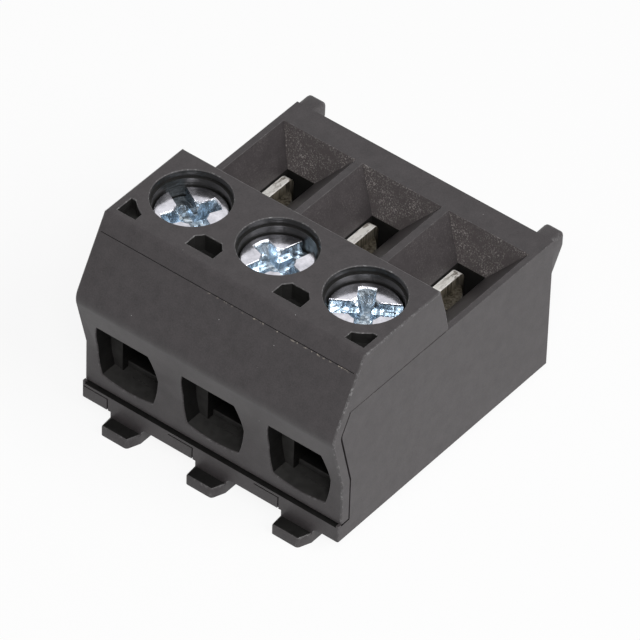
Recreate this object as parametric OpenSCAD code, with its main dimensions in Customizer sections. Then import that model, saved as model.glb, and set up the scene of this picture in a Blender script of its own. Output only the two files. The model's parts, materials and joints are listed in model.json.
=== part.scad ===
/* [Block] */
// Distance from one wire place to the next
pitch = 5; // [4.6:0.1:5.6]
// Width left free so that two blocks can stand side by side
side_play = 0.05; // [0:0.05:0.3]

/* [Base] */
// Length of the base, from its front strip to its mating face
base_l = 15.45; // [14.8:0.05:17]
// Height of the base walls above the underside of the floor
base_h = 7.6; // [7.2:0.1:8.4]
// Thickness of the floor, seen as the strip along the front
floor_t = 0.85; // [0.6:0.05:1]
// Thickness of the walls between the wire places
partition = 1; // [0.8:0.05:1.2]
// Thickness of the mating wall at the back, below the cells
rear_wall = 1.7; // [1.2:0.05:1.9]
// Front face of the cross wall behind the clamps
cross_wall_y = 6.55; // [6.5:0.05:6.7]
// Thickness of the cross wall behind the clamps
cross_wall_t = 1.35; // [1.1:0.05:1.6]
// How far the front lip of an end wall lies below the wall's outer face
lip_inset = 0.02; // [0.01:0.01:0.08]
// Width of the stops that close the front gap at both ends of the strip
stop_w = 0.14; // [0.1:0.02:0.3]

/* [Contact cells] */
// Depth of the open cells below the wall tops
cell_depth = 2.54; // [2.2:0.02:2.8]
// Width of the test slot at the bottom of a cell
slot_w = 1.6; // [1.3:0.05:1.8]
// Width of the tunnel that a contact lies in
tunnel_w = 3.2; // [3:0.05:3.3]
// Reach of a cell's slide to the right of its wire place, at the wall tops
cell_reach = 2.17; // [2:0.01:2.2]
// Width of the flat top that is left of a wall between two cells
ridge_w = 0.36; // [0.3:0.02:0.6]
// Lean of the rear side of a cell, from its slot to the wall tops
cell_rear_lean = 0.27; // [0.1:0.01:0.4]
// Height of the contact tunnel's floor above the underside
tunnel_z = 2.2; // [1.6:0.1:2.5]
// Thickness of the shelf between a cell and its tunnel
shelf_t = 0.67; // [0.5:0.01:0.9]
// Width and height of a pin entry in the mating face
pin_entry = 1.4; // [1.2:0.05:1.6]
// Lead-in around a pin entry
pin_lead = 0.35; // [0.2:0.05:0.5]

/* [Ears and feet] */
// Width of a latch ear
ear_w = 1.05; // [0.8:0.05:1.3]
// How far a latch ear stands out behind the mating face
ear_l = 0.9; // [0.6:0.02:1.2]
// Height of the ear's upright end
ear_end_h = 0.8; // [0.5:0.05:1]
// Height over which the ear runs back into the wall
ear_taper_h = 1.6; // [1.2:0.1:2]
// Radius of the rounded end of a latch ear
ear_r = 0.1; // [0.06:0.02:0.24]
// How far an ear's faces lie below the faces of the walls beside it
ear_inset = 0.03; // [0.02:0.01:0.1]
// Height of the guide ribs under the floor
rib_h = 0.92; // [0.7:0.02:1.1]
// Reach of a guide rib to the left of its wire place
rib_left = 0.8; // [0.6:0.05:0.9]
// Reach of a guide rib to the right of its wire place
rib_right = 1; // [0.8:0.05:1.2]
// How far a foot stands out in front of the strip
foot_l = 0.7; // [0.6:0.05:0.9]
// Thickness of a foot
foot_t = 0.58; // [0.4:0.02:0.65]
// How much a foot narrows on its right side towards its toe
foot_taper = 0.28; // [0.1:0.02:0.4]
// Width of the fine mould slit in the strip
slit_w = 0.07; // [0.05:0.01:0.1]
// Depth of the fine mould slit in the strip
slit_deep = 0.12; // [0.08:0.01:0.2]
// Length of the fine mould slit along the strip
slit_l = 1.45; // [1.2:0.05:1.6]
// Distance of the mould slit below the top of the strip
slit_drop = 0.14; // [0.1:0.01:0.2]
// Distance of the mould slit from the guide rib beside it
slit_rib_gap = 0.16; // [0.1:0.01:0.25]
// Length of a rib short of the mating face
rib_setback = 0.6; // [0.3:0.1:1]

/* [Cover] */
// Height of the cover above the base walls
cover_h = 2.82; // [2.6:0.02:3.2]
// Front edge of the cover's top face, behind the strip
top_front_y = 1.46; // [1.3:0.02:1.6]
// Rear edge of the cover's top face, behind the strip
top_rear_y = 6.98; // [6.9:0.02:7.2]
// How far the cover's rear foot lies behind its top edge
rear_lean = 0.75; // [0.5:0.05:0.8]
// Share of the rear lean that lies above its fold
rear_fold = 0.62; // [0.5:0.02:0.7]
// Drop of the fold in the rear face below the top face
rear_fold_drop = 1.58; // [1.2:0.02:2]
// How far the rounded nose stands in front of the strip, taken to its sharp corner
nose_reach = 0.64; // [0.5:0.02:0.68]
// Height of the nose above the underside of the floor
nose_z = 6.58; // [6.3:0.02:6.8]
// Radius of the nose
nose_r = 1.1; // [0.6:0.1:1.2]
// Setback of the upright lower front face behind the strip
low_front_y = 0.2; // [0.1:0.02:0.3]
// Height where the lower front face turns upright
low_front_z = 3.3; // [3.1:0.05:3.6]
// Thickness of the front shell
shell_t = 0.52; // [0.4:0.02:0.6]
// Open gap between the front shell and the base behind and below it
shell_gap = 0.12; // [0.08:0.01:0.16]
// Open seam between the cover and the walls of the base
seam = 0.09; // [0.05:0.01:0.12]
// Depth of the seam along the tops of the end walls
seam_deep = 0.25; // [0.1:0.05:0.4]
// Rear face of the wire guides inside the cover
guide_y = 2.85; // [2.5:0.05:2.95]
// Depth of the mould line across the sloping front
mould_line_d = 0.03; // [0.02:0.01:0.1]
// Height of the mould line below the top face
mould_line_drop = 0.85; // [0.6:0.05:1.1]
// Distance of the ends of the mould line from the cover's ends
mould_line_end = 0.2; // [0.1:0.05:0.5]

/* [Wire mouths] */
// Width of a wire mouth along its straight upper edge
mouth_w = 3; // [2.6:0.05:3.2]
// Upper edge of a wire mouth above the underside of the floor
mouth_top = 4.98; // [4.8:0.02:5.2]
// Lower corners of a wire mouth above the underside of the floor
mouth_low = 1.76; // [1.65:0.02:2]
// How far the sides of a mouth bow outwards
mouth_side_bow = 0.26; // [0.1:0.02:0.34]
// How far the lower edge of a mouth bows down
mouth_low_bow = 0.2; // [0.1:0.02:0.25]
// Depth of the wide part of a mouth behind the strip
mouth_depth = 1.15; // [0.9:0.05:1.8]
// Step from the clamp's floor up to the floor of the wire guide
guide_step = 0.05; // [0.02:0.01:0.1]
// Width and height of the narrow wire guide behind the mouth
guide_w = 2.1; // [2:0.05:2.5]

/* [Screws] */
// Distance of the screw axes behind the strip
screw_y = 4.65; // [4.55:0.05:4.75]
// Diameter of a screw head
head_d = 3.48; // [3.2:0.02:3.56]
// Height of a screw head
head_h = 1.3; // [1.2:0.02:1.4]
// Depth of a screw head's top below the cover's top face
head_drop = 0.82; // [0.7:0.02:0.95]
// Thread diameter of a screw
thread_d = 2; // [1.8:0.05:2.2]
// Gap between a screw head and its well
head_play = 0.07; // [0.05:0.01:0.1]
// Gap between a screw thread and the thread in its clamp
thread_play = 0.03; // [0.02:0.01:0.05]
// Gap between a screw shank and the hole in its seat
shank_play = 0.12; // [0.08:0.01:0.2]
// Thickness of the seat under a screw head
seat_t = 0.5; // [0.4:0.02:0.6]
// Gap between a screw tip and the current bar
tip_gap = 0.05; // [0.03:0.01:0.1]
// Radius of the rounded shoulder of a screw head
head_r = 0.1; // [0.1:0.02:0.3]
// Width of the slot across a screw head
slot_cut = 0.9; // [0.7:0.02:1]
// Depth of the slot across a screw head
slot_deep = 0.6; // [0.4:0.05:0.7]
// Width of the wings of the cross recess at the top
cross_w = 0.86; // [0.7:0.02:1]
// Width of the wings of the cross recess at the bottom
cross_root = 0.4; // [0.3:0.02:0.6]
// Reach of the cross recess across a screw head
cross_reach = 2.9; // [2.4:0.1:3]
// Reach of the cross recess at its bottom
cross_tip = 1.9; // [0.8:0.1:2.2]
// Depth of the cross recess
cross_deep = 0.9; // [0.7:0.05:1]
// Diameter of the hollow in the middle of the cross recess
cross_middle = 1.7; // [1.3:0.1:1.9]
// Diameter of the step around the mouth of a screw well
well_rim_d = 3.84; // [3.75:0.02:4]
// Depth of the step around the mouth of a screw well
well_rim_deep = 0.4; // [0.2:0.02:0.5]

/* [Moulded pockets] */
// Width of the pockets between two screws
pocket_w = 1.56; // [1.3:0.02:1.8]
// Length of the pockets from front to back
pocket_l = 1; // [0.8:0.02:1.1]
// Front edge of the pockets between two screws, behind the strip
pocket_y = 2.14; // [2.05:0.01:2.25]
// Depth of the pockets between two screws
pocket_deep = 0.94; // [0.6:0.02:1.4]
// Thickness of the wall that the pockets leave around a screw well
pocket_wall = 0.6; // [0.4:0.02:0.7]
// Front edge of the end pockets behind the strip
end_pocket_y = 1.9; // [1.85:0.01:2]
// Width of the end pockets
end_pocket_w = 1.05; // [0.8:0.05:1.2]
// Depth of the end pockets
end_pocket_deep = 0.6; // [0.4:0.02:1]
// Distance of the end pockets from the cover's ends
end_pocket_wall = 0.4; // [0.3:0.02:0.5]

/* [Clamps] */
// Width of a clamp cage
cage_w = 3.4; // [3.2:0.05:3.5]
// Length of a clamp cage from front to back
cage_l = 3.1; // [2.8:0.05:3.2]
// Thickness of the cage's side walls
cage_wall = 0.5; // [0.4:0.05:0.6]
// Thickness of the cage's bottom
cage_floor = 0.6; // [0.5:0.05:0.65]
// Thickness of the cage's threaded top
cage_top = 1.05; // [0.9:0.05:1.2]
// Gap over the current bar in the window of an open cage
bar_room = 0.2; // [0.1:0.02:0.4]
// Gap under a fully opened cage
cage_rest_gap = 0.1; // [0.05:0.01:0.15]
// Radius of the folded corners of a cage
cage_r = 0.45; // [0.3:0.05:0.5]

/* [Contacts] */
// Thickness of the contact metal
metal_t = 0.46; // [0.4:0.02:0.52]
// Depth of the tops of the leaves below the floor of the cells
leaf_drop = 0.1; // [0.1:0.01:0.3]
// Radius of the edge along the top of a leaf
leaf_r = 0.06; // [0.02:0.02:0.3]
// Radius of the rounded tip of a leaf
leaf_tip_r = 0.4; // [0.3:0.05:0.7]
// Gap between a contact and its tunnel
contact_play = 0.05; // [0.03:0.01:0.08]
// Gap between the tips of the leaves and the mating wall
leaf_end_gap = 0.15; // [0.15:0.05:0.6]
// Thickness of the current bar
bar_t = 0.62; // [0.5:0.02:0.66]
// Width of the current bar
bar_w = 2; // [1.7:0.05:2.1]
// Free gap between the spring domes of a contact
spring_gap = 0.8; // [0.6:0.05:0.9]
// Distance of the spring domes from the tips of the leaves
dome_back = 1.5; // [1.3:0.1:1.8]
// How far the current bar stays behind the front of its clamp
bar_setback = 0.2; // [0.1:0.05:0.4]
// Radius of the spring domes of a contact
dome_r = 1.4; // [1.2:0.1:1.8]

/* [Hidden] */
$fn = 48;
pole_n = 3;
poles = [for (i = [0 : pole_n - 1]) (i - (pole_n - 1) / 2) * pitch];
gaps_between = [for (i = [1 : pole_n - 1]) (i - pole_n / 2) * pitch];
// Turn of each screw slot, as they stand
slot_turns = [153, 73, 33];
block_w = pole_n * pitch - side_play;
chamber_w = pitch - partition;
// Two end walls side by side, with the play between blocks, are as thick as a partition
end_wall = (partition - side_play) / 2;
eps = 0.01;
past = 1;
// Heights are counted from the surface that the feet stand on
under_z = rib_h;
floor_z = under_z + floor_t;
wall_z = under_z + base_h;
top_z = wall_z + cover_h;
slot_z = wall_z - cell_depth;
nose_at_z = under_z + nose_z;
low_at_z = under_z + low_front_z;
cell_front_y = cross_wall_y + cross_wall_t;
cell_rear_y = base_l - rear_wall;
rear_foot_y = top_rear_y + rear_lean;
head_top_z = top_z - head_drop;
seat_z = head_top_z - head_h;
roof_z = seat_z - seat_t;
tunnel_half = tunnel_w / 2;
tunnel_at_z = under_z + tunnel_z;
tunnel_roof_z = slot_z - shelf_t;
leaf_top_z = slot_z - leaf_drop;
bar_top_z = tunnel_roof_z - contact_play;
bar_low_z = bar_top_z - bar_t;
cage_low_z = floor_z + cage_rest_gap;
cage_floor_z = cage_low_z + cage_floor;
cage_window = bar_top_z + bar_room - cage_floor_z;
cage_h = cage_floor + cage_window + cage_top;
front_reach = max(foot_l, nose_reach);
middle_y = (base_l + ear_l - front_reach) / 2;

// Lines of the front shell, counted inwards from its outer face
slope_run = (top_front_y + nose_reach) / (top_z - nose_at_z);
tuck_run = (low_front_y + nose_reach) / (nose_at_z - low_at_z);
slope_len = sqrt(1 + slope_run * slope_run);
tuck_len = sqrt(1 + tuck_run * tuck_run);
function slope_y(z, inset) = -nose_reach + (z - nose_at_z) * slope_run + inset * slope_len;
function nose_pt_z(inset) = nose_at_z + inset * (tuck_len - slope_len) / (slope_run + tuck_run);
function low_pt_z(inset) = low_at_z + inset * (tuck_len - 1) / tuck_run;
function turn_deg() = atan(slope_run) + atan(tuck_run);
function nose_cut(r) = r * tan(turn_deg() / 2);

// Puts the block's middle over the origin
module placed() {
    translate([0, -middle_y, 0])
        children();
}

// Draws a side outline, given as [y, z], across a width
module across(width) {
    translate([-width / 2, 0, 0])
        rotate([90, 0, 90])
            linear_extrude(width)
                children();
}

// Draws a front outline, given as [x, z], from one depth to another
module along(from_y, to_y) {
    translate([0, to_y, 0])
        rotate([90, 0, 0])
            linear_extrude(to_y - from_y)
                children();
}

module box(x, y, z) {
    translate([x[0], y[0], z[0]])
        cube([x[1] - x[0], y[1] - y[0], z[1] - z[0]]);
}

// A rectangle that stands on the origin, with its far upper corner rounded
module round_corner(size, r) {
    square([size[0] - r, size[1]]);
    square([size[0], size[1] - r]);
    translate([size[0] - r, size[1] - r])
        circle(r);
}

// Everything behind the cover's front line, moved in by an inset, with its rounded nose
module behind_front(inset, low_z, high_z, rear_y) {
    r = nose_r - inset;
    corner_z = nose_pt_z(inset);
    corner_y = slope_y(corner_z, inset);
    up = nose_cut(r) / slope_len;
    down = nose_cut(r) / tuck_len;
    low_y = low_front_y + inset;
    intersection() {
        translate([-past, low_z])
            square([rear_y + past, high_z - low_z]);
        union() {
            polygon([
                [slope_y(high_z + past, inset), high_z + past],
                [corner_y + up * slope_run, corner_z + up],
                [corner_y + down * tuck_run, corner_z - down],
                [low_y, low_pt_z(inset)],
                [low_y, low_z - past],
                [rear_y + past, low_z - past],
                [rear_y + past, high_z + past]
            ]);
            translate([corner_y + up * slope_run + r / slope_len, corner_z + up - r * slope_run / slope_len])
                circle(r);
        }
    }
}

// One wall of the base: its front edge follows the cover's shell, its back is the mating face
module wall_side(front_from) {
    difference() {
        behind_front(shell_t + shell_gap, floor_z - eps, wall_z, base_l);
        if (front_from > 0)
            translate([-past, 0])
                square([front_from + past, top_z]);
    }
}

module base_walls() {
    lip_y = low_front_y + shell_t + shell_gap + eps;
    for (x = gaps_between)
        translate([x, 0, 0])
            across(partition)
                wall_side(0);
    for (side = [-1, 1]) {
        translate([side * (block_w - end_wall) / 2, 0, 0])
            across(end_wall)
                wall_side(lip_y);
        translate([side * (block_w - end_wall - lip_inset) / 2, 0, 0])
            across(end_wall - lip_inset)
                wall_side(0);
    }
}

// An open cell: one steep side, one slide that leads a probe into the slot, and a leaning rear side.
// The steep side starts at the ridge beside it, or at the top of the end wall.
module cell_cut(i) {
    left = i == 0 ? -block_w / 2 - poles[0] : cell_reach - pitch;
    intersection() {
        along(cell_front_y, base_l)
            polygon([
                [left + ridge_w, wall_z + eps],
                [-tunnel_half, slot_z],
                [slot_w - tunnel_half, slot_z],
                [cell_reach, wall_z + eps]
            ]);
        across(2 * pitch)
            polygon([
                [cell_front_y - eps, slot_z - eps],
                [cell_rear_y, slot_z - eps],
                [cell_rear_y + cell_rear_lean, wall_z + eps],
                [cell_front_y - eps, wall_z + eps]
            ]);
    }
}

// The tunnel that a contact lies in, open upwards through the test slot
module tunnel_cut() {
    half = tunnel_half;
    leaf_room = metal_t + 2 * contact_play;
    along(cross_wall_y - eps, cell_rear_y)
        polygon([
            [-half, tunnel_at_z],
            [half, tunnel_at_z],
            [half, leaf_top_z + contact_play],
            [half - leaf_room, leaf_top_z + contact_play],
            [half - leaf_room, tunnel_roof_z],
            [slot_w - half, tunnel_roof_z],
            [slot_w - half, slot_z + eps],
            [-half, slot_z + eps]
        ]);
}

// A square pin entry with a lead-in on all four sides
module pin_entry_cut() {
    pin_z = (tunnel_at_z + tunnel_roof_z) / 2;
    half = pin_entry / 2;
    wide = half + pin_lead;
    lead = [
        [-wide - past, base_l + past],
        [-wide, base_l],
        [-half, base_l - pin_lead],
        [half, base_l - pin_lead],
        [wide, base_l],
        [wide + past, base_l + past]
    ];
    box([-half, half], [cell_rear_y - eps, base_l + past], [pin_z - half, pin_z + half]);
    intersection() {
        translate([0, 0, pin_z - pitch])
            linear_extrude(2 * pitch)
                polygon(lead);
        translate([0, 0, pin_z])
            across(2 * pitch)
                polygon([for (p = lead) [p[1], p[0]]]);
    }
}

// A latch ear, upright and rounded at its end and tapered back into the mating face
module ear(side) {
    end_low = wall_z - ear_inset - ear_end_h;
    translate([side * ((block_w - ear_w) / 2 - ear_inset), 0, 0])
        across(ear_w)
            union() {
                translate([base_l - eps, end_low])
                    round_corner([ear_l + eps, ear_end_h], ear_r);
                polygon([
                    [base_l - eps, end_low + eps],
                    [base_l + ear_l, end_low + eps],
                    [base_l + ear_l, end_low],
                    [base_l, end_low - ear_taper_h],
                    [base_l - eps, end_low - ear_taper_h]
                ]);
            }
}

// A guide rib under the floor that ends in a foot in front of the strip
module guide_rib() {
    gusset = under_z - foot_t;
    box([-rib_left, rib_right], [0, base_l - rib_setback], [0, under_z + eps]);
    linear_extrude(foot_t)
        polygon([
            [-rib_left, eps],
            [-rib_left, -foot_l],
            [rib_right - foot_taper, -foot_l],
            [rib_right, eps]
        ]);
    along(0, foot_l)
        difference() {
            translate([rib_right - eps, foot_t])
                square([gusset + eps, gusset + eps]);
            translate([rib_right + gusset, foot_t])
                circle(gusset);
        }
}

// A stop that closes the front gap at one end of the strip
module strip_stop() {
    half = block_w / 2;
    box([half - stop_w, half], [0, low_front_y], [floor_z - eps, floor_z + shell_gap]);
}

// The fine mould slit beside each foot, shaped like an L
module strip_slit() {
    corner_x = -rib_left - slit_rib_gap;
    high = floor_z - slit_drop;
    box([corner_x - slit_l, corner_x], [-eps, slit_deep], [high - slit_w, high]);
    box([corner_x - slit_w, corner_x], [-eps, slit_deep], [under_z - eps, high]);
}

module base() {
    color("#4a4849")
    placed()
        difference() {
            union() {
                box([-block_w / 2, block_w / 2], [0, base_l], [under_z, floor_z]);
                base_walls();
                box([-block_w / 2 + eps, block_w / 2 - eps], [cross_wall_y, base_l], [floor_z - eps, wall_z]);
                for (side = [-1, 1])
                    ear(side);
                for (side = [0, 1])
                    mirror([side, 0, 0])
                        strip_stop();
                for (x = poles)
                    translate([x, 0, 0])
                        guide_rib();
            }
            for (i = [0 : pole_n - 1])
                translate([poles[i], 0, 0]) {
                    cell_cut(i);
                    tunnel_cut();
                    pin_entry_cut();
                    strip_slit();
                }
        }
}

// Front outline of a wire mouth: straight above, bowed at the sides and below
module mouth_outline() {
    high = under_z + mouth_top;
    low = under_z + mouth_low;
    half = mouth_w / 2;
    tall = high - low;
    side_r = (tall * tall / 4 + mouth_side_bow * mouth_side_bow) / (2 * mouth_side_bow);
    low_r = (half * half + mouth_low_bow * mouth_low_bow) / (2 * mouth_low_bow);
    intersection() {
        translate([-pitch, low - 2 * mouth_low_bow])
            square([2 * pitch, tall + 2 * mouth_low_bow]);
        translate([half + mouth_side_bow - side_r, (high + low) / 2])
            circle(side_r, $fn = 96);
        translate([side_r - half - mouth_side_bow, (high + low) / 2])
            circle(side_r, $fn = 96);
        translate([0, low - mouth_low_bow + low_r])
            circle(low_r, $fn = 96);
    }
}

module wire_mouth_cut() {
    guide_low = cage_floor_z + guide_step;
    along(-nose_reach - past, mouth_depth)
        mouth_outline();
    box([-guide_w / 2, guide_w / 2], [mouth_depth - eps, guide_y + eps], [guide_low, guide_low + guide_w]);
}

// A stepped well that holds a screw head
module screw_well_cut() {
    translate([0, screw_y, 0]) {
        translate([0, 0, top_z - well_rim_deep])
            cylinder(d = well_rim_d, h = well_rim_deep + past);
        translate([0, 0, seat_z])
            cylinder(d = head_d + 2 * head_play, h = top_z - seat_z + past);
        translate([0, 0, wall_z - past])
            cylinder(d = thread_d + 2 * shank_play, h = top_z - wall_z);
    }
}

// Room for a clamp above the base walls
module clamp_room_cut() {
    half = chamber_w / 2;
    box([-half, half], [guide_y, cross_wall_y], [wall_z - past, roof_z]);
}

// A pocket in the top face that leaves an even wall around the screw wells beside it
module pocket_cut(from_x, width, from_y, deep) {
    translate([0, 0, top_z - deep])
        linear_extrude(deep + past)
            difference() {
                translate([from_x, from_y])
                    square([width, pocket_l]);
                for (x = poles)
                    translate([x, screw_y])
                        circle(well_rim_d / 2 + pocket_wall);
            }
}

// The open seam along the top of an end wall
module end_seam_cut() {
    half = block_w / 2;
    front_y = slope_y(wall_z, shell_t);
    box([half - seam_deep, half + past], [front_y, rear_foot_y + past], [wall_z - eps, wall_z + seam]);
}

module cover_top() {
    across(block_w)
        difference() {
            behind_front(0, wall_z, top_z, rear_foot_y);
            polygon([
                [top_rear_y, top_z + past],
                [top_rear_y, top_z],
                [top_rear_y + rear_lean * rear_fold, top_z - rear_fold_drop],
                [rear_foot_y, wall_z],
                [rear_foot_y + past, wall_z],
                [rear_foot_y + past, top_z + past]
            ]);
        }
}

module cover_shell() {
    across(block_w)
        difference() {
            behind_front(0, floor_z + shell_gap, wall_z + eps, guide_y);
            behind_front(shell_t, floor_z, wall_z, base_l);
        }
}

// The block inside the cover that leads a wire to its clamp
module wire_guide() {
    guide_x = chamber_w - 2 * seam;
    across(guide_x)
        difference() {
            behind_front(0, floor_z + shell_gap, wall_z + eps, guide_y);
            translate([guide_y, 0])
                square([base_l, top_z]);
        }
}

module mould_line_cut() {
    line_z = top_z - mould_line_drop;
    across(block_w - 2 * mould_line_end)
        polygon([
            [slope_y(line_z, 0) - past, line_z],
            [slope_y(line_z, mould_line_d), line_z],
            [slope_y(line_z + mould_line_d, 0), line_z + mould_line_d],
            [slope_y(line_z, 0) - past, line_z + mould_line_d]
        ]);
}

module cover() {
    end_pocket_x = block_w / 2 - end_pocket_wall - end_pocket_w;
    color("#4f4d4e")
    placed()
        difference() {
            union() {
                cover_top();
                cover_shell();
                for (x = poles)
                    translate([x, 0, 0])
                        wire_guide();
            }
            for (x = poles)
                translate([x, 0, 0]) {
                    wire_mouth_cut();
                    screw_well_cut();
                    clamp_room_cut();
                }
            for (x = gaps_between)
                pocket_cut(x - pocket_w / 2, pocket_w, pocket_y, pocket_deep);
            for (side = [0, 1])
                mirror([side, 0, 0]) {
                    pocket_cut(end_pocket_x, end_pocket_w, end_pocket_y, end_pocket_deep);
                    end_seam_cut();
                }
            mould_line_cut();
        }
}

// A contact leaf with a rounded upper edge and a rounded tip
module leaf(outer, low, from_y, tip_y) {
    tall = leaf_top_z - low;
    intersection() {
        along(from_y, tip_y)
            translate([outer, low])
                mirror([1, 0, 0])
                    round_corner([metal_t, tall], leaf_r);
        across(2 * tunnel_w)
            translate([from_y - eps, low])
                round_corner([tip_y - from_y + eps, tall], leaf_tip_r);
    }
}

// A stamped contact: two leaves with spring domes, a web, and the bar that runs into the clamp
module contact(i) {
    half = tunnel_half - contact_play;
    inner = half - metal_t;
    low = tunnel_at_z + contact_play;
    web_top = tunnel_roof_z - contact_play;
    web_y = cell_front_y + contact_play;
    tip_y = cell_rear_y - leaf_end_gap;
    dome_y = tip_y - dome_back;
    bar_front_y = screw_y - cage_l / 2 + bar_setback;
    color("#d8cfc0")
    translate([poles[i], 0, 0])
    placed()
        union() {
            box([-half, half], [web_y, web_y + metal_t], [low, web_top]);
            box([-half, half], [web_y, tip_y], [low, low + metal_t]);
            for (side = [0, 1])
                mirror([side, 0, 0]) {
                    leaf(half, low, web_y, tip_y);
                    intersection() {
                        translate([spring_gap / 2 + dome_r, dome_y, low])
                            cylinder(r = dome_r, h = web_top - low);
                        box([0, inner + eps], [web_y, tip_y], [low, web_top]);
                    }
                }
            box([-bar_w / 2, bar_w / 2], [bar_front_y, web_y + eps], [bar_low_z, bar_top_z]);
        }
}

// A folded clamp cage with a threaded top and a window for the bar and the wire
module clamp(i) {
    half = cage_w / 2;
    window_half = half - cage_wall;
    color("#c9ccd2")
    translate([poles[i], 0, 0])
    placed()
        difference() {
            along(screw_y - cage_l / 2, screw_y + cage_l / 2)
                difference() {
                    union() {
                        translate([-half, cage_low_z + cage_r])
                            square([cage_w, cage_h - 2 * cage_r]);
                        translate([cage_r - half, cage_low_z])
                            square([cage_w - 2 * cage_r, cage_h]);
                        for (x = [cage_r - half, half - cage_r])
                            for (z = [cage_low_z + cage_r, cage_low_z + cage_h - cage_r])
                                translate([x, z])
                                    circle(cage_r);
                    }
                    translate([-window_half, cage_floor_z])
                        square([2 * window_half, cage_window]);
                }
            translate([0, screw_y, cage_floor_z])
                cylinder(d = thread_d + 2 * thread_play, h = cage_h);
        }
}

// The slot for a flat driver, and the wings for a cross driver that run out towards the rim
module driver_cut() {
    low_z = head_top_z - cross_deep;
    box([-head_d, head_d], [-slot_cut / 2, slot_cut / 2], [head_top_z - slot_deep, top_z]);
    translate([0, 0, low_z])
        cylinder(d1 = cross_root, d2 = cross_middle, h = cross_deep + eps);
    intersection() {
        translate([0, 0, low_z])
            cylinder(d1 = cross_tip, d2 = cross_reach, h = cross_deep + eps);
        for (turn = [0, 90])
            rotate([0, 0, turn])
                across(2 * head_d)
                    polygon([
                        [-cross_root / 2, low_z],
                        [cross_root / 2, low_z],
                        [cross_w / 2, head_top_z],
                        [cross_w / 2, top_z],
                        [-cross_w / 2, top_z],
                        [-cross_w / 2, head_top_z]
                    ]);
    }
}

// A clamp screw with a slot and a cross recess in its head
module screw(i) {
    tip_z = bar_top_z + tip_gap;
    color("#b9bec8")
    translate([poles[i], 0, 0])
    placed()
        translate([0, screw_y, 0])
            rotate([0, 0, slot_turns[i]])
                difference() {
                    union() {
                        translate([0, 0, tip_z])
                            cylinder(d = thread_d, h = seat_z - tip_z + eps);
                        translate([0, 0, seat_z])
                            rotate_extrude()
                                round_corner([head_d / 2, head_h], head_r);
                    }
                    driver_cut();
                }
}

base();
cover();
contact(0);  // contact_1
contact(1);  // contact_2
contact(2);  // contact_3
clamp(0);  // clamp_1
clamp(1);  // clamp_2
clamp(2);  // clamp_3
screw(0);  // screw_1
screw(1);  // screw_2
screw(2);  // screw_3
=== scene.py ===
import json
import math

import bmesh
import bpy
from mathutils import Matrix, Vector

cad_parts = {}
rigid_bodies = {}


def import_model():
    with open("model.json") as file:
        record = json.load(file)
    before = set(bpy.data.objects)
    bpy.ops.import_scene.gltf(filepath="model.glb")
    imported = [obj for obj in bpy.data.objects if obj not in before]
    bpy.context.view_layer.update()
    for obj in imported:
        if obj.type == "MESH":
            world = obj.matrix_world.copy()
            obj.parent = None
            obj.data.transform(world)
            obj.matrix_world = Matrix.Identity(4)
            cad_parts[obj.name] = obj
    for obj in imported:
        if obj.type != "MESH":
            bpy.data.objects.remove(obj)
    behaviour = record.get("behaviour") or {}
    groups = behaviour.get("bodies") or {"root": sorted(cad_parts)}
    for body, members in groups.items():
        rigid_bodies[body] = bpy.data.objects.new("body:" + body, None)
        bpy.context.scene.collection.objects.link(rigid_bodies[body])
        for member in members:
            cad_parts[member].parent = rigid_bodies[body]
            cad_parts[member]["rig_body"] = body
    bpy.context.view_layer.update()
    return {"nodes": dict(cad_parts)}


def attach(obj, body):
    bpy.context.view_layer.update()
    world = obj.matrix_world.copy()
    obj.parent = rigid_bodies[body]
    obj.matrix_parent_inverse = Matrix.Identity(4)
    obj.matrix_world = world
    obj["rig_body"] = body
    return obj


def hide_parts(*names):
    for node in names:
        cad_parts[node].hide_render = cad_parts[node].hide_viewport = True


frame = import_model()
MM = 0.001
PER_MM = 1000


# The block: places and sizes in mm, in the frame that the solids share

POLES = (1, 2, 3)
MIDDLE_POLE = 2
PITCH = 5.0

END_X = 7.3
STRIP_Y = -7.825
UNDER_Z = 0.92
FLOOR_Z = 1.77
WALL_Z = 8.52
TOP_Z = 11.34

TOP_FRONT_Y = -6.3
TOP_REAR_Y = -0.9
TOP_MARGIN = 0.1
WELL_LOW_Z = 9.0
RIM_H = 0.05
MOULD_LINE_Z = 10.505
MOULD_LINE_REACH = 0.03

MOUTH_HALF_W = 1.8
MOUTH_RIM_Y = STRIP_Y + 0.5
MOUTH_INNER_Y = STRIP_Y + 0.35
MOUTH_REAR_Y = -4.9
MOUTH_LOW_Z = 2.4
MOUTH_TOP_Z = 6.0
MOUTH_RIM_TOP_Z = MOUTH_TOP_Z + 0.2
LEDGE_FRONT_Y = -6.265
LEDGE_TOP_Z = 2.835
LEDGE_SIZE = Vector((2.3, 1.24, 0.4))
LEDGE_MIDDLE = Vector((0, LEDGE_FRONT_Y + LEDGE_SIZE.y / 2, LEDGE_TOP_Z - LEDGE_SIZE.z / 2))
BEHIND_LEDGE_Y = LEDGE_FRONT_Y + 0.1

CELL_FRONT_Y = -1.3
CELL_REAR_Y = 5.925
SLOT_LOW_Z = UNDER_Z + 1
SLOT_Z = 5.98
MATING_Y = 7.625
EAR_END_Y = 8.525
EAR_TOP_Z = 8.49
EAR_FINE_R = 0.11
FOOT_Y = STRIP_Y - 0.1
FOOT_LOW_Z = 0.1
FOOT_TOP_Z = UNDER_Z - 0.2

HEAD_TOP_Z = 10.52
LEAF_TOP_Z = 5.88
LEAF_TIP_Y = 5.775
FLANK_Z = SLOT_Z - 0.5


# Limits that merge points and sort edges and faces, lengths in mm and shares of a normal

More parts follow.
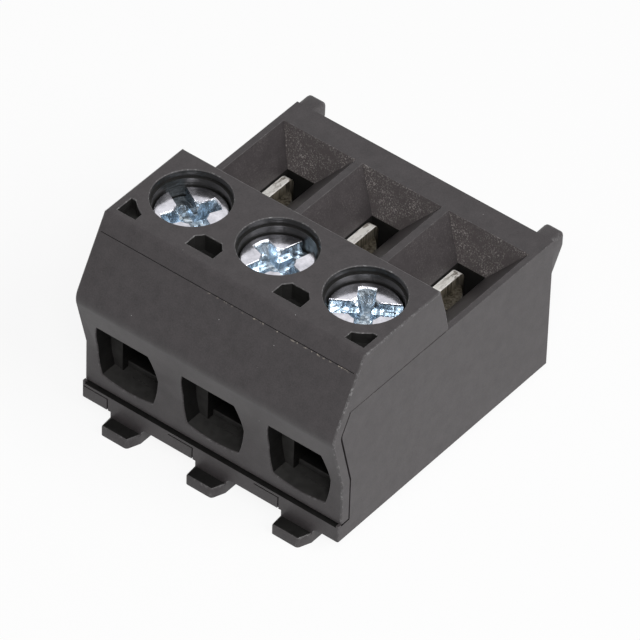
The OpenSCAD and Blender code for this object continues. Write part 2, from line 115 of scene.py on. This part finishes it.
TOUCH = 0.02
SLIVER = 0.0005
MOULDING_MERGE = 0.025
METAL_MERGE = 0.003
FLAT_ANGLE = math.radians(0.4)
SHARP_ANGLE = math.radians(25)
SMOOTH_ANGLE = math.radians(32)
SQUARE_ON = 0.9
LEANING = 0.7
SLANTED = 0.5
EDGE_UP = 0.3
EDGE_OUT = 0.2


# Camera: the photograph's viewing angle, on a 640 by 640 picture

CAMERA_AZIMUTH = 37.23
CAMERA_ELEVATION = 42.78
CAMERA_ROLL = 1.975
CAMERA_DISTANCE = 351.48 * MM
CAMERA_AIM = Vector((0.988, -1.178, 5.993)) * MM
CAMERA_LENS = 435.7
SENSOR_WIDTH = 36


def direction(azimuth, elevation):
    """Points away from the block. In degrees: azimuth 0 is in front, 90 is on the right."""
    turn = math.radians(azimuth)
    rise = math.radians(elevation)
    level = math.cos(rise)
    return Vector((math.sin(turn) * level, -math.cos(turn) * level, math.sin(rise)))


def place_camera():
    turn = math.radians(CAMERA_AZIMUTH)
    back = direction(CAMERA_AZIMUTH, CAMERA_ELEVATION)
    right = Vector((math.cos(turn), math.sin(turn), 0))
    up = back.cross(right)
    axes = Matrix((right, up, back)).transposed().to_4x4()
    data = bpy.data.cameras.new("photo_camera")
    data.lens = CAMERA_LENS
    data.sensor_width = SENSOR_WIDTH
    data.clip_start = CAMERA_DISTANCE / 10
    data.clip_end = CAMERA_DISTANCE * 20
    camera = bpy.data.objects.new("photo_camera", data)
    bpy.context.scene.collection.objects.link(camera)
    camera.matrix_world = (
        Matrix.Translation(CAMERA_AIM + back * CAMERA_DISTANCE)
        @ axes
        @ Matrix.Rotation(math.radians(CAMERA_ROLL), 4, "Z")
    )
    bpy.context.scene.camera = camera


# Shader maths: sockets that take part in arithmetic

class Value:
    """A socket of a finish. Each operator adds a Math node."""

    def __init__(self, finish, socket):
        self.finish = finish
        self.socket = socket

    def maths(self, operation, *terms):
        values = dict(enumerate(terms))
        return self.finish.add("ShaderNodeMath", {"operation": operation}, values)

    def __add__(self, other):
        return self.maths("ADD", self, other)

    def __radd__(self, other):
        return self.maths("ADD", other, self)

    def __sub__(self, other):
        return self.maths("SUBTRACT", self, other)

    def __rsub__(self, other):
        return self.maths("SUBTRACT", other, self)

    def __mul__(self, other):
        return self.maths("MULTIPLY", self, other)

    def __rmul__(self, other):
        return self.maths("MULTIPLY", other, self)


class Finish:
    """A material made of nodes."""

    # Sockets of a Mix node that carry colours; their names alone don't tell them from the others
    MIX_FIRST = 6
    MIX_SECOND = 7
    MIX_RESULT = 2

    def __init__(self, name):
        self.material = bpy.data.materials.new(name)
        self.material.use_nodes = True
        self.take(self.material.node_tree)

    def take(self, tree):
        self.tree = tree
        self.tree.nodes.clear()

    @classmethod
    def over(cls, tree):
        """A finish on a tree that is not a material's, such as the world's."""
        finish = cls.__new__(cls)
        finish.take(tree)
        return finish

    def add(self, kind, settings=None, values=None, output=0):
        """Adds a node, sets it, fills its sockets with values or links, and returns one output."""
        node = self.tree.nodes.new(kind)
        for name, setting in (settings or {}).items():
            setattr(node, name, setting)
        for name, value in (values or {}).items():
            socket = node.inputs[name]
            if isinstance(value, Value):
                self.tree.links.new(value.socket, socket)
            else:
                socket.default_value = value
        return Value(self, node.outputs[output]) if node.outputs else node

    def place(self):
        return self.add("ShaderNodeTexCoord", output="Object")

    def axis(self, letter):
        """One coordinate of the place, in metres."""
        return self.add("ShaderNodeSeparateXYZ", None, {"Vector": self.place()}, letter)

    def stretched(self, scale):
        """The place with scaled axes: a small scale draws a pattern out along its axis."""
        return self.add("ShaderNodeMapping", None, {"Vector": self.place(), "Scale": scale})

    def attribute(self, name):
        return self.add("ShaderNodeAttribute", {"attribute_name": name}, None, "Fac")

    def seen(self):
        """1 for the rays that show a thing: from the camera, in a reflection or through glass."""
        rays = [
            self.add("ShaderNodeLightPath", output=name)
            for name in ("Is Camera Ray", "Is Glossy Ray", "Is Transmission Ray")
        ]
        return self.between(rays[0] + rays[1] + rays[2], 0, 1)

    def specks(self, per_mm, radius, spared):
        """Scattered dots: a share of the cells is spared, the rest hold one dot each."""
        values = {"Vector": self.place(), "Scale": per_mm * PER_MM}
        distance = self.add("ShaderNodeTexVoronoi", None, values, "Distance")
        colour = self.add("ShaderNodeTexVoronoi", None, values, "Color")
        draw = self.add("ShaderNodeSeparateColor", None, {"Color": colour}, "Red")
        core = radius * 0.6
        taken = spared + 0.01
        return self.between(distance, radius, core) * self.between(draw, spared, taken)

    def noise(self, per_mm, detail, roughness=0.5, where=None):
        values = {
            "Vector": where or self.place(),
            "Scale": per_mm * PER_MM,
            "Detail": detail,
            "Roughness": roughness,
        }
        return self.add("ShaderNodeTexNoise", None, values, "Fac")

    def between(self, value, low, high):
        """Rises from 0 to 1 while the value goes from low to high."""
        values = {"Value": value, "From Min": low, "From Max": high}
        return self.add("ShaderNodeMapRange", {"clamp": True}, values)

    def mix(self, share, first, second):
        values = {"Factor": share, self.MIX_FIRST: first, self.MIX_SECOND: second}
        return self.add("ShaderNodeMix", {"data_type": "RGBA"}, values, self.MIX_RESULT)

    def bump(self, height, depth):
        values = {"Height": height, "Distance": depth, "Strength": 1.0}
        return self.add("ShaderNodeBump", None, values)

    def surface(self, **values):
        sockets = {name.replace("_", " "): value for name, value in values.items()}
        shader = self.add("ShaderNodeBsdfPrincipled", None, sockets)
        self.add("ShaderNodeOutputMaterial", None, {"Surface": shader})
        return self.material


# Colours of the finishes

def grey(level):
    return (level, level, level, 1)


NYLON_BLACK = (0.036, 0.0318, 0.0332, 1)
NYLON_MOTTLE = (0.06, 0.0533, 0.0555, 1)
NYLON_ERODED_AND_LIT = (0.145, 0.128, 0.128, 1)
NYLON_SPARK = (0.52, 0.48, 0.46, 1)
NYLON_FLASH_AND_GLINT = (0.34, 0.3, 0.26, 1)
NYLON_WORN_AND_HIGHLIT = grey(0.12)
NYLON_FLECK_AND_GLINT = grey(0.5)
NYLON_WARMTH = Vector((1, 0.97, 0.94))
DUST = grey(0.6)
ZINC_DULL = (0.56, 0.57, 0.6, 1)
ZINC_BRIGHT = (0.74, 0.74, 0.78, 1)
HEAD_DULL = (0.5, 0.5, 0.55, 1)
HEAD_BRIGHT = (0.82, 0.81, 0.87, 1)
RECESS_BLUE_SHADED = (0.4, 0.46, 0.52, 1)
RECESS_BLUE_HIGHLIGHT = (0.74, 0.84, 0.93, 1)
RECESS_DARK_REFLECTION = (0.22, 0.26, 0.29, 1)
RECESS_BURR_SHADE = (0.1, 0.12, 0.13, 1)
TIN_DULL = (0.9, 0.87, 0.82, 1)
TIN_BRIGHT = (1.0, 0.98, 0.94, 1)
TIN_SCORED = (0.16, 0.13, 0.1, 1)
TIN_FLANK_SHADE_PALER = (0.5, 0.45, 0.36, 1)
TIN_FLANK_SHADE = (0.05, 0.042, 0.03, 1)


# Finishes: patterns are given by their number of waves on a millimetre

NYLON_IOR = 1.5


def mould_flash_and_glints(finish):
    """Torn flecks just below the mould line across the slope, more of them towards the right: pale
    flash, painted with glints.
    """
    x, y, z = (finish.axis(letter) for letter in "XYZ")
    below_line = finish.between(z, MOULD_LINE_Z * MM, (MOULD_LINE_Z - 0.02) * MM)
    near_line = finish.between(z, (MOULD_LINE_Z - 0.1) * MM, (MOULD_LINE_Z - 0.06) * MM)
    on_slope = finish.between(y, (TOP_FRONT_Y - 0.2) * MM, (TOP_FRONT_Y - 0.3) * MM)
    to_right = finish.between(x, -3 * MM, 3 * MM)
    torn = finish.between(finish.noise(4, 3, 0.6), 0.54, 0.64)
    return torn * below_line * near_line * on_slope * to_right


def nylon(name):
    """Black nylon: satin outside, with spark erosion grain in its cells, painted lighter there as
    light, and pale edges, partly wear and partly painted highlights.
    """
    finish = Finish(name)
    edge = finish.attribute("edge")
    eroded_and_lit = finish.attribute("eroded_and_lit")
    cloud = finish.noise(0.42, 3)
    grain = finish.noise(16, 3)
    pits = finish.noise(13.5, 2, 0.6)
    mottle = finish.between(finish.noise(1.5, 4, 0.65) + grain, 0.7, 1.3)
    flecks_and_glints = finish.between(finish.noise(5.2, 4, 0.7), 0.52, 0.7) * edge
    patches = finish.between(finish.noise(0.9, 2), 0.3, 0.6)
    sparks = finish.between(pits, 0.52, 0.68) * eroded_and_lit * patches
    dust = finish.specks(per_mm=2.3, radius=0.055, spared=0.86)
    colour = finish.mix(mottle, NYLON_BLACK, NYLON_MOTTLE)
    # Painted light in part: eroded cell walls are painted lighter than the moulding, for light on them
    # as well as their grain
    colour = finish.mix(eroded_and_lit * 0.8, colour, NYLON_ERODED_AND_LIT)
    colour = finish.mix(sparks, colour, NYLON_SPARK)
    # Painted highlight in part: pale edges and flecks on the rounded edges stand for light caught
    # there, as well as wear
    colour = finish.mix(edge * 0.3, colour, NYLON_WORN_AND_HIGHLIT)
    colour = finish.mix(flecks_and_glints * 0.5, colour, NYLON_FLECK_AND_GLINT)
    colour = finish.mix(dust * 0.7, colour, DUST)
    # pale flecks below the mould line: torn flash, painted with glints
    colour = finish.mix(mould_flash_and_glints(finish), colour, NYLON_FLASH_AND_GLINT)
    height = grain * (0.6 - eroded_and_lit * 0.6) + pits * eroded_and_lit * 6
    return finish.surface(
        Base_Color=colour,
        Roughness=0.34 + cloud * 0.08 + grain * 0.06 + eroded_and_lit * 0.2,
        Normal=finish.bump(height, 0.004 * MM),
        IOR=NYLON_IOR,
        Specular_IOR_Level=0.35,
    )


def shaded_polished_nylon(name, level, gloss, ring_depth):
    """Near-black nylon as polished core pins leave it, with fine rings across the bores; its level
    paints it darker as shade where it is used.
    """
    finish = Finish(name)
    rings = finish.noise(11, 3, 0.6, finish.stretched((0.03, 0.03, 1)))
    haze = finish.noise(2.6, 3)
    dark, light = ((*(NYLON_WARMTH * level * share), 1) for share in (0.6, 1.4))
    return finish.surface(
        Base_Color=finish.mix(haze, dark, light),
        Roughness=0.26 + haze * 0.12,
        Normal=finish.bump(rings, ring_depth * MM),
        IOR=NYLON_IOR,
        Specular_IOR_Level=gloss,
    )


def zinc_plating(name):
    """Bright zinc of the folded clamps, with fine scratches."""
    finish = Finish(name)
    cloud = finish.noise(1.1, 3)
    scratch = finish.noise(7, 3, 0.6)
    return finish.surface(
        Base_Color=finish.mix(cloud, ZINC_DULL, ZINC_BRIGHT),
        Metallic=1.0,
        Roughness=0.22 + scratch * 0.16,
        Normal=finish.bump(scratch, 0.005 * MM),
    )


def blue_zinc_plating(name):
    """Bright zinc of the screws.

    In the recess it is blue, darkened there as painted shade, with upright marks of the punch painted
    as pale and dark stripes of reflection, dark patches of painted reflection, and torn lips edged with
    painted shade."""
    finish = Finish(name)
    edge = finish.attribute("edge")
    z = finish.axis("Z")
    top_z = HEAD_TOP_Z * MM
    cloud = finish.between(finish.noise(1.6, 4, 0.6), 0.3, 0.7)
    scratch = finish.noise(7, 3, 0.6)
    torn = finish.noise(10, 3, 0.6)
    flutes = finish.between(finish.noise(3, 1, 0.5, finish.stretched((1, 1, 0.06))), 0.38, 0.62)
    dark_reflection_facets = finish.between(finish.noise(2, 1, 0.5), 0.48, 0.6)
    sunk = finish.between(z, top_z - 0.01 * MM, top_z - 0.12 * MM)
    below_rim = finish.between(z, top_z - 0.005 * MM, top_z - 0.03 * MM)
    lip = finish.between(z, top_z - 0.24 * MM, top_z - 0.08 * MM) * below_rim
    burr_shade = finish.between(torn, 0.5, 0.58) * lip
    # Painted reflection and shade: the recess is painted darker than the head, in pale and dark stripes
    # along the flutes, with dark facets and dark burr lines
    bright = finish.mix(cloud, HEAD_DULL, HEAD_BRIGHT)
    blue = finish.mix(flutes, RECESS_BLUE_SHADED, RECESS_BLUE_HIGHLIGHT)
    blue = finish.mix(dark_reflection_facets * 0.6, blue, RECESS_DARK_REFLECTION)
    blue = finish.mix(burr_shade * 0.8, blue, RECESS_BURR_SHADE)
    height = scratch * 0.06 + (flutes * 0.55 + dark_reflection_facets * 0.25) * sunk + torn * (edge + lip * 0.8)
    return finish.surface(
        Base_Color=finish.mix(sunk, bright, blue),
        Metallic=1.0,
        Roughness=0.1 + scratch * 0.1 + sunk * 0.1,
        Normal=finish.bump(height, 0.04 * MM),
    )


def tin_plating(name):
    """Satin tin, scored near the leaves' tips, with painted brown shade in streaks down their flanks,
    paler towards their upper edges.
    """
    finish = Finish(name)
    flank = finish.attribute("flank")
    y, z = (finish.axis(letter) for letter in "YZ")
    streak = finish.noise(7.5, 3, 0.6, finish.stretched((1, 1, 0.12)))
    scores = finish.noise(5.2, 3, 0.6, finish.stretched((1, 0.4, 1)))
    cloud = finish.noise(1.3, 3)
    near_tip = finish.between(y, (LEAF_TIP_Y - 1.3) * MM, (LEAF_TIP_Y - 0.4) * MM)
    marks = finish.between(scores, 0.5, 0.6) * (0.25 + near_tip * 0.6)
    upper = finish.mix(marks, finish.mix(cloud, TIN_DULL, TIN_BRIGHT), TIN_SCORED)
    # Painted shade: the flanks are painted dark brown, paler towards their upper edges and in streaks,
    # for the dark slot they face
    shade_paler_upwards = finish.between(z, (LEAF_TOP_Z - 0.9) * MM, LEAF_TOP_Z * MM)
    lower = finish.mix(shade_paler_upwards, TIN_FLANK_SHADE, TIN_FLANK_SHADE_PALER)
    lower = finish.mix(finish.between(streak, 0.35, 0.6), TIN_FLANK_SHADE, lower)
    return finish.surface(
        Base_Color=finish.mix(flank, upper, lower),
        Metallic=0.25 + flank * 0.5,
        Roughness=0.3 + streak * 0.15,
        Normal=finish.bump(streak, 0.006 * MM),
    )


# Modelling by hand: selections and common steps

def pick(piece):
    bpy.ops.object.select_all(action="DESELECT")
    piece.select_set(True)
    bpy.context.view_layer.objects.active = piece


def open_mesh(piece):
    """Goes to edit mode with nothing selected, and gives the mesh to select from."""
    pick(piece)
    bpy.ops.object.mode_set(mode="EDIT")
    bpy.ops.mesh.select_mode(type="EDGE")
    bpy.ops.mesh.select_all(action="DESELECT")
    return bmesh.from_edit_mesh(piece.data)


def close_mesh():
    bpy.ops.object.mode_set(mode="OBJECT")


def copy_of(node, name, merge, material):
    """A piece with a CAD node's form, its loose triangles merged into flat faces."""
    piece = bpy.data.objects.new(name, frame["nodes"][node].data.copy())
    bpy.context.scene.collection.objects.link(piece)
    piece.data.materials.clear()
    piece.data.materials.append(material)
    open_mesh(piece)
    bpy.ops.mesh.customdata_custom_splitnormals_clear()
    bpy.ops.mesh.select_all(action="SELECT")
    bpy.ops.mesh.remove_doubles(threshold=merge * MM)
    bpy.ops.mesh.dissolve_limited(angle_limit=FLAT_ANGLE)
    close_mesh()
    return piece


def paint_faces(piece, material, rule):
    """Gives a further material to the faces that the rule takes, by their middle in mm and normal."""
    piece.data.materials.append(material)
    index = len(piece.data.materials) - 1
    mesh = open_mesh(piece)
    for face in mesh.faces:
        if rule(face.calc_center_median() / MM, face.normal):
            face.material_index = index
    bmesh.update_edit_mesh(piece.data)
    close_mesh()


def mark_faces(piece, name, rule):
    """Writes a face attribute. The rule gives each face's share, by its middle in mm and normal."""
    mesh = open_mesh(piece)
    layer = mesh.faces.layers.float.new(name)
    for face in mesh.faces:
        face[layer] = float(rule(face.calc_center_median() / MM, face.normal))
    bmesh.update_edit_mesh(piece.data)
    close_mesh()


def sort_edges(mesh, groups):
    """Writes on each sharp outward edge the number of the first group that takes it, from 1."""
    group_of = mesh.edges.layers.int.new("group")
    for edge in mesh.edges:
        if len(edge.link_faces) != 2 or not edge.is_convex:
            continue
        if edge.calc_face_angle(0) < SHARP_ANGLE:
            continue
        middle = (edge.verts[0].co + edge.verts[1].co) / 2 / MM
        outward = edge.link_faces[0].normal + edge.link_faces[1].normal
        takers = [
            number
            for number, (_, _, rule) in enumerate(groups, 1)
            if rule(middle, outward)
        ]
        edge[group_of] = takers[0] if takers else 0


def round_edges(piece, groups, steps=3):
    """Rounds outward edges group by group.

    A group is a radius in mm, the wear and painted edge highlight it shows and a rule on an edge. The
    rule is given the edge's middle in mm and the sum of its two faces' normals. Short edges nearby hold
    a radius back."""
    mesh = open_mesh(piece)
    mesh.faces.layers.float.new("edge")
    sort_edges(mesh, groups)
    for number, (radius, wear_and_highlight, _) in enumerate(groups, 1):
        group_of = mesh.edges.layers.int["group"]
        bpy.ops.mesh.select_all(action="DESELECT")
        for edge in mesh.edges:
            edge.select = edge[group_of] == number
        bmesh.update_edit_mesh(piece.data)
        bpy.ops.mesh.bevel(offset=radius * MM, segments=steps, affect="EDGES", clamp_overlap=True)
        mesh = bmesh.from_edit_mesh(piece.data)
        group_of = mesh.edges.layers.int["group"]
        worn_and_highlit = mesh.faces.layers.float["edge"]
        for face in mesh.faces:
            if face.select:
                face[worn_and_highlit] = wear_and_highlight
        for edge in mesh.edges:
            if edge.select:
                edge[group_of] = 0
    bmesh.update_edit_mesh(piece.data)
    bpy.ops.mesh.select_all(action="SELECT")
    bpy.ops.mesh.dissolve_degenerate(threshold=SLIVER * MM)
    close_mesh()


def pole_x(pole):
    return PITCH * (pole - MIDDLE_POLE)


def add_ledges(piece):
    """Adds a low ledge across the floor of each wire guide, let into the walls around it."""
    for pole in POLES:
        bpy.ops.object.select_all(action="DESELECT")
        bpy.ops.mesh.primitive_cube_add(size=1)
        ledge = bpy.context.object
        ledge.location = (LEDGE_MIDDLE + Vector((pole_x(pole), 0, 0))) * MM
        ledge.scale = LEDGE_SIZE * MM
        bpy.ops.object.transform_apply(location=True, rotation=False, scale=True)
        pick(piece)
        union = piece.modifiers.new("ledge", "BOOLEAN")
        union.operation = "UNION"
        union.object = ledge
        bpy.ops.object.modifier_apply(modifier=union.name)
        bpy.data.objects.remove(ledge)


def square_ears(piece):
    """Takes the fine radius off the ends of the ears, where a larger one follows."""
    mesh = open_mesh(piece)
    bpy.ops.mesh.select_mode(type="VERT")
    for vert in mesh.verts:
        place = vert.co / MM
        if place.y > EAR_END_Y - EAR_FINE_R and place.z > EAR_TOP_Z - EAR_FINE_R:
            vert.co.y = EAR_END_Y * MM
            vert.co.z = EAR_TOP_Z * MM
            vert.select = True
    bmesh.update_edit_mesh(piece.data)
    bpy.ops.mesh.remove_doubles(threshold=TOUCH * MM)
    close_mesh()


def finish_piece(piece, node):
    """Shades the piece and puts it in the place of its CAD node."""
    pick(piece)
    bpy.ops.object.shade_smooth_by_angle(angle=SMOOTH_ANGLE)
    weighted = piece.modifiers.new("flat_faces", "WEIGHTED_NORMAL")
    weighted.keep_sharp = True
    bpy.ops.object.modifier_apply(modifier=weighted.name)
    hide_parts(node)
    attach(piece, frame["nodes"][node]["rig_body"])


# Rules on faces: p is the face's middle in mm, n its normal

def near_pole(p):
    return any(abs(p.x - pole_x(pole)) < MOUTH_HALF_W for pole in POLES)


def in_cover_bore(p, n):
    """Walls and floors of the screw wells and the pockets."""
    inside = abs(p.x) < END_X and TOP_FRONT_Y < p.y < TOP_REAR_Y
    return inside and WELL_LOW_Z < p.z < TOP_Z - RIM_H


def in_mouth(p, n):
    inside = MOUTH_INNER_Y < p.y < MOUTH_REAR_Y and MOUTH_LOW_Z < p.z < MOUTH_TOP_Z
    return inside and near_pole(p)


def on_mould_line(p, n):
    return abs(p.z - MOULD_LINE_Z) < MOULD_LINE_REACH and p.y < TOP_FRONT_Y


def is_painted_shade_cover(p, n):
    """Painted shade: the walls of the mouths, their floors from the ledges inwards, and the mould line.
    """
    on_wall = n.y > -SLANTED and (n.z < LEANING or p.y > BEHIND_LEDGE_Y)
    return (in_mouth(p, n) and on_wall) or on_mould_line(p, n)


def is_painted_shade_base(p, n):
    """Painted shade: the contact slots, the tops of the feet and the ledge behind the strip."""
    in_row = abs(p.x) < END_X and CELL_FRONT_Y < p.y < CELL_REAR_Y + TOUCH
    in_slot = in_row and SLOT_LOW_Z < p.z < SLOT_Z - TOUCH
    on_low_top = n.z > SQUARE_ON and (p.y < STRIP_Y or abs(p.z - FLOOR_Z) < TOUCH)
    return in_slot or on_low_top


def erosion_and_light_of_base(p, n):
    """Full on the rear walls of the cells, faint on their left walls. Besides the grain, the share
    paints these walls lighter, as light on them.
    """
    none, faint, full = 0.0, 0.1, 1.0
    if p.z < SLOT_Z or abs(p.x) > END_X:
        return none
    if n.y < -SQUARE_ON and p.y > CELL_REAR_Y - TOUCH:
        return full
    in_cell = CELL_FRONT_Y < p.y < CELL_REAR_Y
    return faint if n.x > LEANING and in_cell else none


def is_flank(p, n):
    """All of a contact but the upper edges of its leaves."""
    return n.z < SLANTED or p.z < FLANK_Z


# Rules on edges: p is the edge's middle in mm, n the sum of its two faces' normals

def on_top(p):
    return p.z > TOP_Z - TOUCH


def on_top_opening(p, n):
    """The rims of the screw wells and the pockets."""
    inside = TOP_FRONT_Y + TOP_MARGIN < p.y < TOP_REAR_Y - TOP_MARGIN
    return on_top(p) and abs(p.x) < END_X and inside


def on_top_front(p, n):
    return on_top(p) and p.y < TOP_FRONT_Y + TOP_MARGIN


def on_top_rear(p, n):
    return on_top(p) and p.y > TOP_REAR_Y - TOP_MARGIN


def on_cover_end(p, n):
    """The edges of the end faces, apart from the gaps to the base."""
    faces_out = n.y < -EDGE_OUT or n.z > EDGE_UP or (n.y > EDGE_OUT and p.y > TOP_REAR_Y)
    return abs(p.x) > END_X and faces_out


def on_mouth_rim(p, n):
    return p.y < MOUTH_RIM_Y and MOUTH_LOW_Z < p.z < MOUTH_RIM_TOP_Z and near_pole(p)


def on_guide_ledge(p, n):
    return abs(p.z - LEDGE_TOP_Z) < TOUCH and abs(p.y - LEDGE_FRONT_Y) < TOUCH


def on_ear(p, n):
    return p.y > MATING_Y + TOUCH and p.z > SLOT_Z


def on_foot(p, n):
    return FOOT_LOW_Z < p.z < FOOT_TOP_Z and p.y < FOOT_Y


def on_wall_top(p, n):
    return abs(p.z - WALL_Z) < TOUCH


def on_strip(p, n):
    at_end = abs(p.x) > END_X and UNDER_Z < p.z < FLOOR_Z
    return p.y < STRIP_Y + TOUCH and (at_end or abs(p.z - FLOOR_Z) < TOUCH)


def on_head_top(p, n):
    return p.z > HEAD_TOP_Z - TOUCH


def everywhere(p, n):
    return True


# Pieces: each stands for one CAD node

def dress_cover(plastic, well_plastic_shaded, guide_plastic_shaded, shade_painted_plastic):
    """The upper moulding, polished in its wells and its mouths, and painted darker there as shade."""
    cover = copy_of("cover", "dressed_cover", MOULDING_MERGE, plastic)
    add_ledges(cover)
    round_edges(cover, [
        (0.045, 0.9, on_top_opening),
        (0.1, 0.6, on_cover_end),
        (0.2, 0.0, on_top_front),
        (0.06, 0.4, on_top_rear),
        (0.07, 0.3, on_mouth_rim),
        (0.05, 0.3, on_guide_ledge),
    ])
    paint_faces(cover, well_plastic_shaded, in_cover_bore)
    paint_faces(cover, guide_plastic_shaded, in_mouth)
    paint_faces(cover, shade_painted_plastic, is_painted_shade_cover)
    finish_piece(cover, "cover")


def dress_base(plastic, shade_painted_plastic):
    """The lower moulding, with its cells, latch ears and feet."""
    base = copy_of("base", "dressed_base", MOULDING_MERGE, plastic)
    square_ears(base)
    mark_faces(base, "eroded_and_lit", erosion_and_light_of_base)
    round_edges(base, [
        (0.2, 0.3, on_ear),
        (0.12, 0.4, on_foot),
        (0.08, 0.3, on_wall_top),
        (0.05, 0.3, on_strip),
    ])
    paint_faces(base, shade_painted_plastic, is_painted_shade_base)
    finish_piece(base, "base")


def dress_screw(pole, plating):
    """A screw. The fine facets of its head keep the rounding of the recess small."""
    screw = copy_of(f"screw_{pole}", f"dressed_screw_{pole}", METAL_MERGE, plating)
    round_edges(screw, [(0.06, 1.0, on_head_top)], steps=2)
    finish_piece(screw, f"screw_{pole}")


def dress_contact(pole, plating):
    """A contact, bright on the upper edges of its leaves, with painted brown shade on their flanks."""
    contact = copy_of(f"contact_{pole}", f"dressed_contact_{pole}", METAL_MERGE, plating)
    mark_faces(contact, "flank", is_flank)
    round_edges(contact, [(0.03, 0.0, everywhere)])
    finish_piece(contact, f"contact_{pole}")


def dress_clamp(pole, plating):
    """A folded clamp cage."""
    clamp = copy_of(f"clamp_{pole}", f"dressed_clamp_{pole}", METAL_MERGE, plating)
    round_edges(clamp, [(0.04, 0.0, everywhere)])
    finish_piece(clamp, f"clamp_{pole}")


# Stage: floor, light and white surroundings, with lengths in metres

FLOOR_SIZE = 1.6
FLOOR_DROP = 0.02 * MM
FLOOR_PAINT = 0.9
FLOOR_GLOW = 0.9
WORLD_LEVEL = 0.1
LIGHT_DISTANCE = 0.5


def white_floor():
    """White to the camera and to reflections, with a part of the object's shadow kept."""
    finish = Finish("floor_white")
    paint = finish.add("ShaderNodeBsdfDiffuse", None, {"Color": grey(FLOOR_PAINT)})
    glow = finish.add("ShaderNodeEmission", None, {"Color": grey(1), "Strength": 1.0})
    shown = finish.add("ShaderNodeMixShader", None, {0: finish.seen() * FLOOR_GLOW, 1: paint, 2: glow})
    finish.add("ShaderNodeOutputMaterial", None, {"Surface": shown})
    bpy.ops.mesh.primitive_plane_add(size=FLOOR_SIZE, location=(0, 0, -FLOOR_DROP))
    floor = bpy.context.object
    floor.name = "floor"
    floor.data.materials.append(finish.material)


def white_world():
    """White to the camera and to reflections, and a softer level of light on the object."""
    world = bpy.data.worlds.new("studio")
    world.use_nodes = True
    bpy.context.scene.world = world
    sky = Finish.over(world.node_tree)
    strength = WORLD_LEVEL + sky.seen() * (1 - WORLD_LEVEL)
    shader = sky.add("ShaderNodeBackground", None, {"Color": grey(1), "Strength": strength})
    sky.add("ShaderNodeOutputWorld", None, {"Surface": shader})


def soft_light(name, size, power, azimuth, elevation):
    """A round softbox that faces the block, with its power in watts and its angles in degrees."""
    towards = direction(azimuth, elevation)
    data = bpy.data.lights.new(name, "AREA")
    data.shape = "DISK"
    data.size = size
    data.energy = power
    light = bpy.data.objects.new(name, data)
    bpy.context.scene.collection.objects.link(light)
    light.location = CAMERA_AIM + towards * LIGHT_DISTANCE
    light.rotation_mode = "QUATERNION"
    light.rotation_quaternion = towards.to_track_quat("Z", "Y")


# The whole scene

place_camera()
bpy.context.scene.view_settings.view_transform = "Standard"

plastic = nylon("moulded_nylon")
# painted shade: the wells and pockets get nylon darker than the moulding
well_plastic_shaded = shaded_polished_nylon("well_nylon_shaded", level=0.017, gloss=0.26, ring_depth=0.018)
# painted shade: the mouths' guide faces and floors get a slightly darker, duller nylon
guide_plastic_shaded = shaded_polished_nylon("guide_nylon_shaded", level=0.042, gloss=0.12, ring_depth=0.004)
# painted shade: near-black nylon for the depths of the mouths, the mould line's groove, the contact
# slots, the tops of the feet and the gap above the strip
shade_painted_plastic = shaded_polished_nylon("shade_painted_nylon", level=0.013, gloss=0.08, ring_depth=0.008)
zinc = zinc_plating("zinc_plating")
blue_zinc = blue_zinc_plating("blue_zinc_plating")
tin = tin_plating("tin_plating")

dress_cover(plastic, well_plastic_shaded, guide_plastic_shaded, shade_painted_plastic)
dress_base(plastic, shade_painted_plastic)
for pole in POLES:
    dress_screw(pole, blue_zinc)
    dress_contact(pole, tin)
    dress_clamp(pole, zinc)

white_floor()
white_world()
soft_light("key", size=0.16, power=1.1, azimuth=40, elevation=50)
soft_light("side", size=0.36, power=1.9, azimuth=95, elevation=41)
